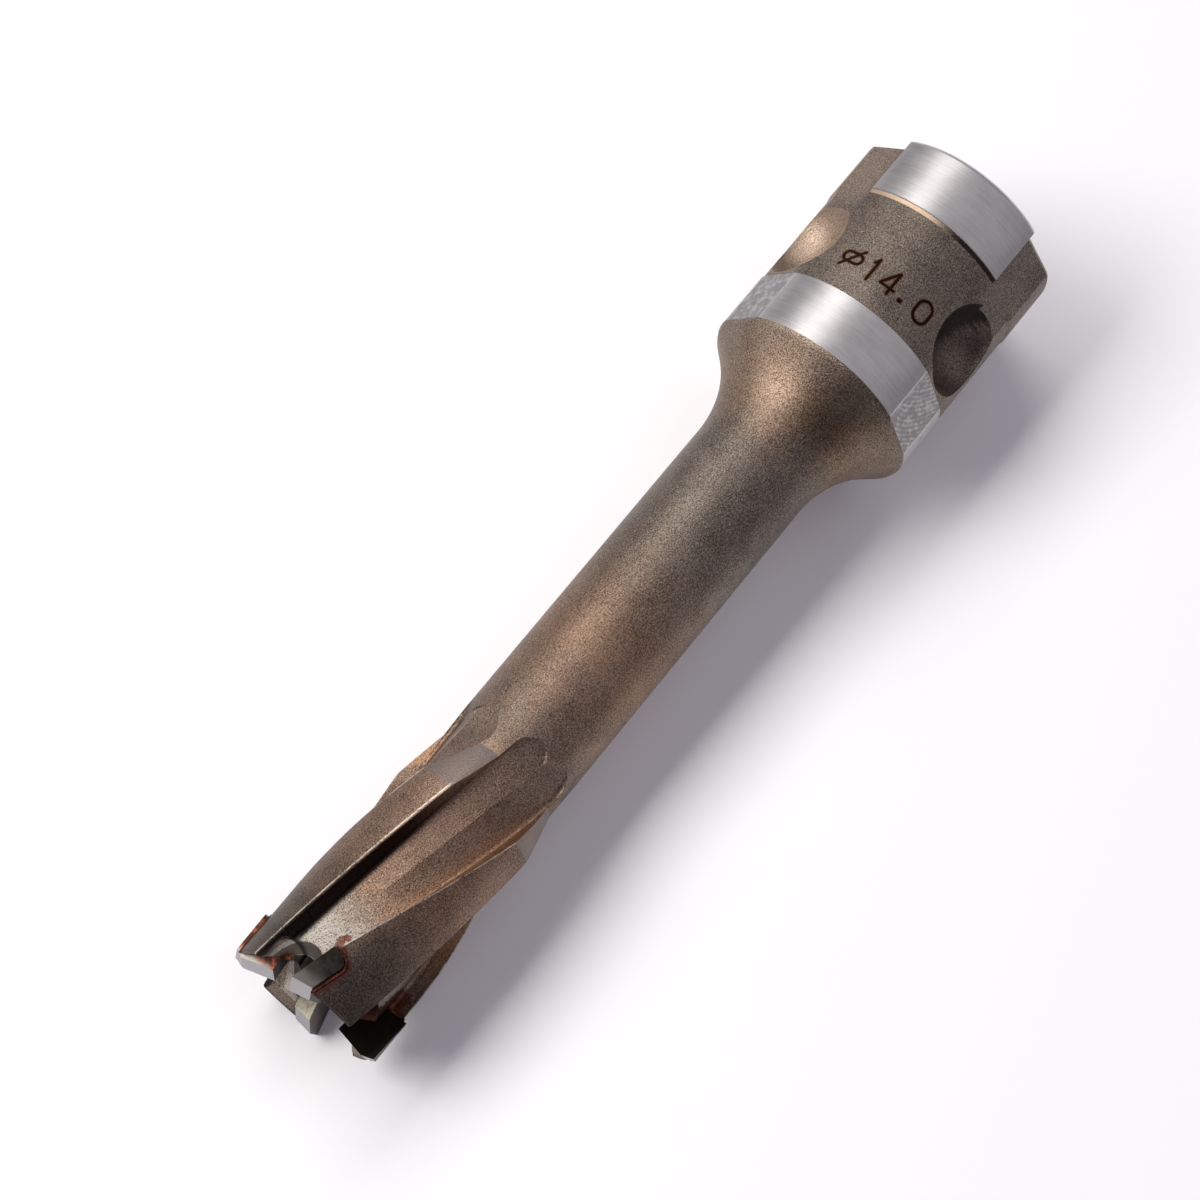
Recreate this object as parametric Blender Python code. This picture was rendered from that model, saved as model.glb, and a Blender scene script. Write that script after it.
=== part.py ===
# Annular cutter with four brazed carbide tips and a quick-change shank, lying at rest.
# The tool is modelled along its own axis, +X from the teeth to the shank end, and then laid down.
# Sizes are in metres and angles in degrees. A turn angle is measured from straight up, right-handed about +X.

from math import atan, cos, pi, radians, sin, sqrt, tan

import bmesh
import bpy
from mathutils import Matrix, Vector

# Overall sizes
CUTTING_DIAMETER = 0.0140
OVERALL_LENGTH = 0.0889
TUBE_DIAMETER = 0.0108
BORE_DIAMETER = 0.0070
SLUG_DIAMETER = 0.0064
PILOT_HOLE_DIAMETER = 0.0064

# Shank: a ground collar, a slightly thinner waist and a ground ring up to the end face
SHANK_LENGTH = 0.0217
COLLAR_DIAMETER = 0.0193
COLLAR_WIDTH = 0.0053
WAIST_DEPTH = 0.00012
RING_WIDTH = 0.0061
RING_EDGE_LENGTH = 0.00045
SHANK_END_CHAMFER = 0.00045
PILOT_MOUTH_CHAMFER = 0.0006
PILOT_HOLE_LENGTH = 0.0300

# Flare from the tube to the collar: a hollow fillet, a short cone and a rounded brim.
# The fillet takes up at most this share of the rise.
FLARE_FILLET = 0.0104
FILLET_SHARE = 0.9
FLARE_ANGLE = 45.0
BRIM_RADIUS = 0.0012
BRIM_END_ANGLE = 20.0
BRIM_STEP = 0.00005

# Drive flats on the ring. The two beside the upper pad are stepped down from the pad's edges and run out
# on the ring, and the third lies across the underside.
DRIVE_FLAT_DEPTH = 0.00095
DRIVE_FLAT_LENGTH = 0.0084
DRIVE_END_BEVEL = 0.0006
UPPER_PAD_HALF_TURN = 42.2
UPPER_FLAT_TURN = 47.5

# Ball pockets under the drive flats, and milled flats on the collar
POCKET_COUNT = 3
POCKET_LENGTH = 0.0083
POCKET_DEPTH = 0.0032
POCKET_FROM_COLLAR = 0.0002
POCKET_LAG = 1.6
COLLAR_FLAT_DEPTH = 0.00035
COLLAR_FLAT_OVERRUN = 0.0010

# Fluted head: four lands stand above the tube and end in a long chamfer
TOOTH_COUNT = 4
FIRST_TOOTH_TURN = -13.7
LAND_CLEARANCE = 0.00045
HEAD_SETBACK = 0.00063
HEAD_END_SLOPE = 30.0
LAND_LENGTH = 0.0195
LAND_CHAMFER_LENGTH = 0.0044
HEAD_EDGE_CHAMFER = 0.00015

# Each flute is two milled passes, cut this deep into the tube.
# The first follows the land behind it and the second the land ahead of it.
FLUTE_DEPTH = 0.00065
FLUTE_END = 0.0277
FLUTE_RAMP_LENGTH = 0.00206
FLUTE_CORNER_RADIUS = 0.00035
FIRST_PASS_HALF_WIDTH = 0.0016
FIRST_PASS_DRAFT = 27.0
FIRST_PASS_TURN = -18.7
FIRST_PASS_TWIST = 1915.0
SECOND_PASS_HALF_WIDTH = 0.0020
SECOND_PASS_TURN = -20.9
SECOND_PASS_TWIST = 3270.0

# Gullet in front of each tooth: a round-ended cut under the flute's first pass. From the bore outwards
# it leans up the tool and towards the tooth.
GULLET_RADIUS = 0.0024
GULLET_HEIGHT = 0.00408
GULLET_SLOPE = 30.0
GULLET_SIDE_LEAN = 20.0

# Carbide tips, each brazed into a seat at the front of its land
TIP_THICKNESS = 0.0016
TIP_LENGTH = 0.0046
TIP_CORNER_RADIUS = 0.0007
AXIAL_RAKE = 15.0
TIP_SIDE_RELIEF = 2.5
TIP_END_RELIEF = 10.0
POINTED_PEAK_RADIUS = 0.0050
POINTED_OUTER_DROP = 0.00060
POINTED_INNER_DROP = 0.00053
BEVELLED_PEAK_RADIUS = 0.0060
BEVELLED_PEAK_DROP = 0.00014
BEVELLED_OUTER_DROP = 0.00045
BEVELLED_INNER_DROP = 0.00078

# Braze fills the seat round each tip, with a thin clearance to both so that the solids stay apart
BRAZE_GAP = 0.00026
BRAZE_CLEARANCE = 0.00004
BRAZE_PROUD = 0.00008

# Fineness of the curved surfaces
TURNS_AROUND = 72
ARC_STEP = 9.0
SWEEP_STEP = 0.0010
RUNOUT_STEPS = 12
CORNER_STEPS = 3
GULLET_STEPS = 4
CROWN_STEPS = 12
BEND_STEPS = 5
BALL_STEPS = 32

# Sizes that follow
cut_radius = CUTTING_DIAMETER / 2
tube_radius = TUBE_DIAMETER / 2
bore_radius = BORE_DIAMETER / 2
slug_radius = SLUG_DIAMETER / 2
pilot_radius = PILOT_HOLE_DIAMETER / 2
collar_radius = COLLAR_DIAMETER / 2
waist_radius = collar_radius - WAIST_DEPTH
drive_flat_distance = collar_radius - DRIVE_FLAT_DEPTH
collar_flat_distance = collar_radius - COLLAR_FLAT_DEPTH
land_radius = cut_radius - LAND_CLEARANCE
flute_floor = tube_radius - FLUTE_DEPTH
collar_start = OVERALL_LENGTH - SHANK_LENGTH
collar_end = collar_start + COLLAR_WIDTH
ring_start = OVERALL_LENGTH - RING_WIDTH
land_end = HEAD_SETBACK + LAND_LENGTH
pocket_turn = 360.0 / POCKET_COUNT
tooth_turn = 360.0 / TOOTH_COUNT
outside = 2 * max(collar_radius, cut_radius)


def outward(turn):
    return Vector((0.0, -sin(radians(turn)), cos(radians(turn))))


def onward(turn):
    return Vector((0.0, -cos(radians(turn)), -sin(radians(turn))))


def arc(x, r, radius, first, last):
    # Points on an arc about (x, r), with angles in degrees from +X towards +r.
    count = max(2, round(abs(last - first) / ARC_STEP))
    angles = [radians(first + (last - first) * i / count) for i in range(count + 1)]
    return [(x + radius * cos(a), r + radius * sin(a)) for a in angles]


def clear_scene():
    for thing in list(bpy.data.objects):
        bpy.data.objects.remove(thing, do_unlink=True)


def material(name, colour, roughness, metallic):
    made = bpy.data.materials.new(name)
    made.use_nodes = True
    shader = made.node_tree.nodes["Principled BSDF"]
    shader.inputs["Base Color"].default_value = (*colour, 1.0)
    shader.inputs["Roughness"].default_value = roughness
    shader.inputs["Metallic"].default_value = metallic
    made.diffuse_color = (*colour, 1.0)
    return made


def object_from(bm, name, look=None):
    bmesh.ops.recalc_face_normals(bm, faces=bm.faces)
    if bm.calc_volume(signed=True) < 0:
        bmesh.ops.reverse_faces(bm, faces=bm.faces)
    mesh = bpy.data.meshes.new(name)
    bm.to_mesh(mesh)
    bm.free()
    if look:
        mesh.materials.append(look)
    made = bpy.data.objects.new(name, mesh)
    bpy.context.scene.collection.objects.link(made)
    return made


def hide_helper(helper):
    helper.hide_render = True
    helper.display_type = "WIRE"
    return helper


def cut(target, helper, operation="DIFFERENCE"):
    step = target.modifiers.new(helper.name, "BOOLEAN")
    step.operation = operation
    step.solver = "EXACT"
    step.object = hide_helper(helper)


def loft(rings):
    # A closed solid through rings of equal point counts, capped at both ends.
    bm = bmesh.new()
    rows = [[bm.verts.new(point) for point in ring] for ring in rings]
    count = len(rows[0])
    for low, high in zip(rows, rows[1:]):
        for i in range(count):
            j = (i + 1) % count
            bm.faces.new((low[i], low[j], high[j], high[i]))
    bm.faces.new(rows[0])
    bm.faces.new(rows[-1])
    bmesh.ops.triangulate(bm, faces=bm.faces)
    return bm


def flare_outline():
    # From the tube's end up to the collar's lower edge.
    top = collar_radius - BRIM_STEP
    end = radians(BRIM_END_ANGLE)
    brim_x = collar_start + BRIM_RADIUS * sin(end)
    brim_r = top - BRIM_RADIUS * cos(end)
    lean = radians(FLARE_ANGLE)
    cone_top_x = brim_x - BRIM_RADIUS * sin(lean)
    cone_top_r = brim_r + BRIM_RADIUS * cos(lean)
    fillet = min(FLARE_FILLET, FILLET_SHARE * (cone_top_r - tube_radius) / (1 - cos(lean)))
    cone_foot_r = tube_radius + fillet * (1 - cos(lean))
    cone_foot_x = cone_top_x - (cone_top_r - cone_foot_r) / tan(lean)
    fillet_x = cone_foot_x - fillet * sin(lean)
    hollow = arc(fillet_x, tube_radius + fillet, fillet, -90, -90 + FLARE_ANGLE)
    brim = arc(brim_x, brim_r, BRIM_RADIUS, 90 + FLARE_ANGLE, 90 + BRIM_END_ANGLE)
    return hollow + brim


def body_outline():
    # Half section from the head's outer edge round to the bore, as (distance along the axis, radius).
    face_x = HEAD_SETBACK
    inner_x = end_face(bore_radius)
    pilot_start = OVERALL_LENGTH - PILOT_HOLE_LENGTH
    outer = [
        (face_x + HEAD_EDGE_CHAMFER, land_radius),
        (land_end, land_radius),
        (land_end + LAND_CHAMFER_LENGTH, tube_radius),
        *flare_outline(),
        (collar_start, collar_radius),
        (collar_end, collar_radius),
        (collar_end, waist_radius),
        (ring_start - RING_EDGE_LENGTH, waist_radius),
        (ring_start, collar_radius),
        (OVERALL_LENGTH - SHANK_END_CHAMFER, collar_radius),
        (OVERALL_LENGTH, collar_radius - SHANK_END_CHAMFER),
    ]
    inner = [
        (OVERALL_LENGTH, pilot_radius + PILOT_MOUTH_CHAMFER),
        (OVERALL_LENGTH - PILOT_MOUTH_CHAMFER, pilot_radius),
        (pilot_start, pilot_radius),
        (pilot_start, bore_radius),
        (inner_x, bore_radius),
        (face_x, land_radius - HEAD_EDGE_CHAMFER),
    ]
    return outer + inner


def turned_body(look):
    bm = bmesh.new()
    ring = [bm.verts.new((x, 0.0, r)) for x, r in body_outline()]
    edges = [bm.edges.new(pair) for pair in zip(ring, ring[1:] + ring[:1])]
    bmesh.ops.spin(
        bm,
        geom=ring + edges,
        cent=(0, 0, 0),
        axis=(1, 0, 0),
        angle=2 * pi,
        steps=TURNS_AROUND,
        use_merge=True,
    )
    return object_from(bm, "cutter_body", look)


def box_cutter(name, turn, sides, floor):
    # A block between two sides, each a distance across. Its inner side follows the floor, given as
    # (distance along the axis, distance from it).
    left, right = (onward(turn) * side for side in sides)
    high = outward(turn) * outside
    rings = []
    for x, distance in floor:
        floor_point = Vector((x, 0, 0)) + outward(turn) * distance
        top_point = floor_point + high
        rings.append([floor_point + left, floor_point + right, top_point + right, top_point + left])
    return object_from(loft(rings), name)


def pocket_cutter(name, turn):
    # A ball that sinks to the pocket's depth and leaves a mouth of its length.
    half = POCKET_LENGTH / 2
    radius = (half**2 + POCKET_DEPTH**2) / (2 * POCKET_DEPTH)
    centre = outward(turn) * (waist_radius - POCKET_DEPTH + radius)
    centre.x = collar_end + POCKET_FROM_COLLAR + half
    bm = bmesh.new()
    bmesh.ops.create_uvsphere(bm, u_segments=BALL_STEPS, v_segments=BALL_STEPS // 2, radius=radius)
    upright = Vector((0, 0, 1)).rotation_difference(outward(turn)).to_matrix().to_4x4()
    bm.transform(Matrix.Translation(centre) @ upright)
    return object_from(bm, name)


def cut_drive_flats(body):
    bevel = DRIVE_END_BEVEL
    floor = [
        (OVERALL_LENGTH - DRIVE_FLAT_LENGTH, drive_flat_distance),
        (OVERALL_LENGTH - bevel, drive_flat_distance),
        (OVERALL_LENGTH + bevel, drive_flat_distance - 2 * bevel),
    ]
    step = collar_radius * sin(radians(UPPER_FLAT_TURN - UPPER_PAD_HALF_TURN))
    cut(body, box_cutter("drive_flat_right", UPPER_FLAT_TURN, (-step, outside), floor))
    cut(body, box_cutter("drive_flat_left", -UPPER_FLAT_TURN, (-outside, step), floor))
    cut(body, box_cutter("drive_flat_under", 180, (-outside, outside), floor))


def cut_pockets(body):
    floor = [
        (collar_start - BRIM_RADIUS, collar_flat_distance),
        (collar_end + COLLAR_FLAT_OVERRUN, collar_flat_distance),
    ]
    half = collar_radius / 2
    for i in range(POCKET_COUNT):
        turn = 180 + i * pocket_turn
        cut(body, pocket_cutter(f"ball_pocket_{i + 1}", turn - POCKET_LAG))
        cut(body, box_cutter(f"collar_flat_{i + 1}", turn, (-half, half), floor))


def corner(u, r, side):
    # Rounds the corner between the flute floor and its wall, on the left (-1) or the right (1).
    radius = FLUTE_CORNER_RADIUS
    points = []
    for i in range(CORNER_STEPS + 1):
        a = radians(90 * i / CORNER_STEPS)
        points.append((u + side * radius * (sin(a) - 1), r + radius * (1 - cos(a))))
    return points if side > 0 else points[::-1]


def pass_ring(x, turn, half_width, floor, draft):
    # One section of a milled pass: a flat floor with round corners between two walls.
    reach = outside - floor
    left = corner(-half_width, floor, -1)
    right = corner(half_width, floor, 1)
    lean = reach * tan(radians(draft))
    outline = [(-half_width - lean, floor + reach), *left, *right, (half_width, floor + reach)]
    return [Vector((x, 0, 0)) + onward(turn) * u + outward(turn) * r for u, r in outline]


def flute_cutter(name, first_turn, twist, half_width, draft):
    # Follows the helix to the round end of the pass, where the floor also ramps up out of the tube.
    round_start = FLUTE_END - half_width
    ramp_start = FLUTE_END - FLUTE_RAMP_LENGTH
    ramp_radius = (FLUTE_RAMP_LENGTH**2 + FLUTE_DEPTH**2) / (2 * FLUTE_DEPTH)
    start = -cut_radius / 2
    straight = max(1, round((ramp_start - start) / SWEEP_STEP))
    stations = [start + (ramp_start - start) * i / straight for i in range(straight)]
    for i in range(RUNOUT_STEPS + 1):
        stations.append(ramp_start + FLUTE_RAMP_LENGTH * sin(radians(90 * i / RUNOUT_STEPS)))
    rings = []
    for x in stations:
        rise = max(0.0, x - ramp_start)
        floor = flute_floor + ramp_radius - sqrt(ramp_radius**2 - rise**2)
        past = max(0.0, x - round_start)
        width = sqrt(max(0.0, half_width**2 - past**2))
        turn = first_turn + twist * min(x, round_start)
        rings.append(pass_ring(x, turn, max(width, 2 * FLUTE_CORNER_RADIUS), floor, draft))
    return object_from(loft(rings), name)


def tooth_frame(turn):
    # Origin on the axis; columns run along the tip, back through its thickness, and outward.
    rake = radians(AXIAL_RAKE)
    along = Vector((cos(rake), 0, 0)) + onward(turn) * sin(rake)
    back = onward(turn) * cos(rake) - Vector((sin(rake), 0, 0))
    out = outward(turn)
    frame = Matrix.Identity(4)
    for column, axis in enumerate((along, back, out)):
        for row in range(3):
            frame[row][column] = axis[row]
    return frame


def end_face(r):
    # The head's end is a hollow cone: how far along the axis it lies at this radius.
    return HEAD_SETBACK + (land_radius - r) * tan(radians(HEAD_END_SLOPE))


def gullet_outline(r):
    # Section at this height over the axis, as (distance along the axis, distance across).
    rise = r - flute_floor
    centre = GULLET_HEIGHT - GULLET_RADIUS + rise * tan(radians(GULLET_SLOPE))
    across = rise * tan(radians(GULLET_SIDE_LEAN))
    crown = []
    for i in range(CROWN_STEPS + 1):
        a = radians(180 * i / CROWN_STEPS - 90)
        crown.append((centre + GULLET_RADIUS * cos(a), across + GULLET_RADIUS * sin(a)))
    return [(-2 * cut_radius, across - GULLET_RADIUS), *crown, (-2 * cut_radius, across + GULLET_RADIUS)]


def gullet_cutter(name, turn):
    # Follows the twist of the flute's first pass, and is trimmed flush with the tooth's rake face.
    low = slug_radius / 2
    high = cut_radius + FLUTE_DEPTH
    rings = []
    for i in range(GULLET_STEPS + 1):
        r = low + (high - low) * i / GULLET_STEPS
        ring = []
        for x, u in gullet_outline(r):
            middle = turn + FIRST_PASS_TURN + FIRST_PASS_TWIST * max(x, 0.0)
            ring.append(Vector((x, 0, 0)) + onward(middle) * u + outward(middle) * r)
        rings.append(ring)
    bm = loft(rings)
    back = tooth_frame(turn).col[1].to_3d()
    bmesh.ops.bisect_plane(
        bm, geom=bm.verts[:] + bm.edges[:] + bm.faces[:], plane_co=(0, 0, 0), plane_no=back, clear_outer=True
    )
    bmesh.ops.holes_fill(bm, edges=[edge for edge in bm.edges if edge.is_boundary])
    bmesh.ops.triangulate(bm, faces=bm.faces)
    return object_from(bm, name)


def tip_outline(grow):
    # Side view of a tip as (along, back), open at the cutting end. Grow moves its back and top outwards.
    thick = TIP_THICKNESS + grow
    long = TIP_LENGTH + grow
    round_off = TIP_CORNER_RADIUS + grow
    bend = [
        (long - round_off + round_off * cos(a), thick - round_off + round_off * sin(a))
        for a in (radians(90 - 90 * i / BEND_STEPS) for i in range(BEND_STEPS + 1))
    ]
    return [*bend, (long, 0.0)]


def end_drop(r, bevelled):
    # How far the cutting edge lies behind the foremost point, at this radius.
    if bevelled:
        peak, drop = BEVELLED_PEAK_RADIUS, BEVELLED_PEAK_DROP
        inner, outer = BEVELLED_INNER_DROP, BEVELLED_OUTER_DROP
    else:
        peak, drop = POINTED_PEAK_RADIUS, 0.0
        inner, outer = POINTED_INNER_DROP, POINTED_OUTER_DROP
    if r > peak:
        return drop + (outer - drop) * (r - peak) / (cut_radius - peak)
    return drop + (inner - drop) * (peak - r) / (peak - slug_radius)


def tip_mesh(turn, bevelled):
    peak = BEVELLED_PEAK_RADIUS if bevelled else POINTED_PEAK_RADIUS
    rake = radians(AXIAL_RAKE)
    outline = tip_outline(0.0)
    rings = []
    for side in ("inner", "peak", "outer"):
        flank = {"inner": slug_radius, "peak": peak, "outer": cut_radius}[side]
        drop = end_drop(flank, bevelled)
        relief = TIP_THICKNESS * tan(radians(TIP_END_RELIEF))
        front = drop / cos(rake)
        back = (drop + relief) / cos(rake) + TIP_THICKNESS * tan(rake)
        points = [(front, 0.0), (back, TIP_THICKNESS), *outline]
        ring = []
        for along, behind in points:
            r = flank
            if side == "outer":
                across = along * sin(rake) + behind * cos(rake)
                r = sqrt(cut_radius**2 - across**2) - behind * tan(radians(TIP_SIDE_RELIEF))
            if side == "inner":
                r = flank + behind * tan(radians(TIP_SIDE_RELIEF))
            ring.append(Vector((along, behind, r)))
        rings.append(ring)
    bm = loft(rings)
    bm.transform(tooth_frame(turn))
    return bm


def seat_cutter(name, turn):
    # The tip's outline grown by the braze gap, open to the gullet, the end, the bore and the outside.
    front = -2 * cut_radius
    outline = [(front, TIP_THICKNESS + BRAZE_GAP), *tip_outline(BRAZE_GAP)]
    outline += [(TIP_LENGTH + BRAZE_GAP, -BRAZE_CLEARANCE), (front, -BRAZE_CLEARANCE)]
    rings = [[Vector((a, b, r)) for a, b in outline] for r in (slug_radius / 2, 2 * cut_radius)]
    bm = loft(rings)
    bm.transform(tooth_frame(turn))
    return object_from(bm, name)


def braze_mesh(turn):
    # An L-shaped strip between the tip and its seat.
    near = tip_outline(BRAZE_CLEARANCE)
    far = tip_outline(BRAZE_GAP - BRAZE_CLEARANCE)
    rake = radians(AXIAL_RAKE)
    rings = []
    for r in (bore_radius + BRAZE_CLEARANCE, land_radius + BRAZE_PROUD):
        foot = end_face(r) / cos(rake) + TIP_THICKNESS * tan(rake)
        end = foot + BRAZE_CLEARANCE
        ring = []
        for a, b in [(end, near[0][1]), *near, *far[::-1], (end, far[0][1])]:
            across = a * sin(rake) + b * cos(rake)
            ring.append(Vector((a, b, sqrt(max(r**2 - across**2, 0.0)))))
        rings.append(ring)
    bm = loft(rings)
    bm.transform(tooth_frame(turn))
    return bm


def collar_flat_foot():
    # Where a collar flat runs out on the brim, halfway across the flat.
    profile = [*flare_outline(), (collar_start, collar_radius)]
    for (low_x, low_r), (high_x, high_r) in zip(profile, profile[1:]):
        if low_r <= collar_flat_distance <= high_r:
            part = (collar_flat_distance - low_r) / (high_r - low_r)
            return low_x + (high_x - low_x) * part
    return collar_start


def resting_tilt(foot_x, tips):
    # The tool lies on one collar flat's lower end and on the lowest tip.
    slopes = []
    for tip in tips:
        for vertex in tip.data.vertices:
            slopes.append((collar_flat_distance + vertex.co.z) / (foot_x - vertex.co.x))
    return atan(min(slopes))


def lay_down(pieces, tips):
    # Rests the tool on the ground, with its box centred on the origin.
    foot_x = collar_flat_foot()
    tilt = resting_tilt(foot_x, tips)
    turned = Matrix.Rotation(-tilt, 4, "Y")
    contact = turned @ Vector((foot_x, 0, -collar_flat_distance))
    bpy.context.view_layer.update()
    graph = bpy.context.evaluated_depsgraph_get()
    points = []
    for piece in pieces:
        mesh = piece.evaluated_get(graph).to_mesh()
        points += [turned @ vertex.co for vertex in mesh.vertices]
    middle = [(max(p[i] for p in points) + min(p[i] for p in points)) / 2 for i in range(2)]
    rest = bpy.data.objects.new("tool_axis", None)
    rest.empty_display_size = cut_radius
    bpy.context.scene.collection.objects.link(rest)
    rest.rotation_euler = (0, -tilt, 0)
    rest.location = (-middle[0], -middle[1], -contact.z)
    return rest


def main():
    clear_scene()
    steel = material("blasted_steel", (0.33, 0.30, 0.27), 0.48, 1.0)
    carbide = material("carbide", (0.20, 0.20, 0.20), 0.32, 1.0)
    copper = material("braze", (0.46, 0.20, 0.12), 0.45, 1.0)
    body = turned_body(steel)
    cut_drive_flats(body)
    cut_pockets(body)
    tips = []
    seams = []
    for i in range(TOOTH_COUNT):
        turn = FIRST_TOOTH_TURN + i * tooth_turn
        number = i + 1
        first_pass = (turn + FIRST_PASS_TURN, FIRST_PASS_TWIST, FIRST_PASS_HALF_WIDTH, FIRST_PASS_DRAFT)
        second_pass = (turn + SECOND_PASS_TURN, SECOND_PASS_TWIST, SECOND_PASS_HALF_WIDTH, 0.0)
        cut(body, flute_cutter(f"first_pass_{number}", *first_pass))
        cut(body, flute_cutter(f"second_pass_{number}", *second_pass))
        cut(body, gullet_cutter(f"gullet_{number}", turn))
        cut(body, seat_cutter(f"tip_seat_{number}", turn))
        tips.append(object_from(tip_mesh(turn, i % 2 == 1), f"carbide_tip_{number}", carbide))
        seams.append(object_from(braze_mesh(turn), f"braze_seam_{number}", copper))
    pieces = [body, *tips, *seams]
    rest = lay_down(pieces, tips)
    for thing in list(bpy.data.objects):
        if thing is not rest:
            thing.parent = rest
    for piece in pieces:
        piece.data.shade_smooth()
        piece.data.set_sharp_from_angle(angle=radians(30))


main()
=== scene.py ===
from math import ceil, cos, pi, radians, sin, sqrt, tan
from types import SimpleNamespace

import bmesh
import bpy
from mathutils import Matrix, Vector, noise


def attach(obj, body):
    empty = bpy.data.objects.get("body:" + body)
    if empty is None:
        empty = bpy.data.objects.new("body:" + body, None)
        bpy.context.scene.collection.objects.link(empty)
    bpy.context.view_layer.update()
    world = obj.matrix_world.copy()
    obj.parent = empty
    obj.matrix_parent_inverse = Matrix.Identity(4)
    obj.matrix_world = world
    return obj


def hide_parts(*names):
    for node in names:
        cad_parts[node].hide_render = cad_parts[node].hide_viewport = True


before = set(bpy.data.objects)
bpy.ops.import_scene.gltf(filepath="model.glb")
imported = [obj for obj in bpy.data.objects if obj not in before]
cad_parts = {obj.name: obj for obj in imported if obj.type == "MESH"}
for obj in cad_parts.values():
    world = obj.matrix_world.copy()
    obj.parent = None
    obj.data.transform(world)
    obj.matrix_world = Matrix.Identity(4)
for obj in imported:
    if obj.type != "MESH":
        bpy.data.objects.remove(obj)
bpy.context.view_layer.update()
print("frame loaded")

placing = {"spot": (-0.0444795, 0.0, 0.0068917), "tilt": 2.0628}
laidDown = Matrix.Translation(placing["spot"]) @ Matrix.Rotation(-radians(placing["tilt"]), 4, "Y")
mm = 0.001


def outward(turn):
    return Vector((0.0, -sin(radians(turn)), cos(radians(turn))))


def onward(turn):
    return Vector((0.0, -cos(radians(turn)), -sin(radians(turn))))


def arcPoints(x, r, radius, first, last, step):
    count = max(2, ceil(abs(last - first) / step))
    angles = [radians(first + (last - first) * i / count) for i in range(count + 1)]
    return [(x + radius * cos(a), r + radius * sin(a)) for a in angles]


def loftRings(rings):
    bm = bmesh.new()
    rows = [[bm.verts.new(point) for point in ring] for ring in rings]
    count = len(rows[0])
    for low, high in zip(rows, rows[1:]):
        for i in range(count):
            j = (i + 1) % count
            bm.faces.new((low[i], low[j], high[j], high[i]))
    bm.faces.new(rows[0])
    bm.faces.new(rows[-1])
    return bm


def objectFrom(bm, name):
    bmesh.ops.recalc_face_normals(bm, faces=bm.faces)
    if bm.calc_volume(signed=True) < 0:
        bmesh.ops.reverse_faces(bm, faces=bm.faces)
    mesh = bpy.data.meshes.new(name)
    bm.to_mesh(mesh)
    bm.free()
    made = bpy.data.objects.new(name, mesh)
    bpy.context.scene.collection.objects.link(made)
    return made


def dress(piece, look, sharpAngle=12):
    # Lays the piece down in the shared frame, smooths it and hands it to the frame
    piece.data.transform(laidDown)
    piece.data.materials.clear()
    piece.data.materials.append(look)
    piece.data.shade_smooth()
    piece.data.set_sharp_from_angle(angle=radians(sharpAngle))
    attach(piece, "root")
    return piece


class Wire:
    # One output socket, so that shader maths can be written as plain sums
    def __init__(self, paint, socket):
        self.paint = paint
        self.socket = socket

    def __add__(self, other):
        return self.paint.maths("ADD", self, other)

    def __radd__(self, other):
        return self.paint.maths("ADD", other, self)

    def __sub__(self, other):
        return self.paint.maths("SUBTRACT", self, other)

    def __rsub__(self, other):
        return self.paint.maths("SUBTRACT", other, self)

    def __mul__(self, other):
        return self.paint.maths("MULTIPLY", self, other)

    def __rmul__(self, other):
        return self.paint.maths("MULTIPLY", other, self)

    def __truediv__(self, other):
        return self.paint.maths("DIVIDE", self, other)

    def __rtruediv__(self, other):
        return self.paint.maths("DIVIDE", other, self)

    def __pow__(self, other):
        return self.paint.maths("POWER", self, other)

    def __mod__(self, other):
        return self.paint.maths("FLOORED_MODULO", self, other)

    def __abs__(self):
        return self.paint.maths("ABSOLUTE", self)


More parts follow.
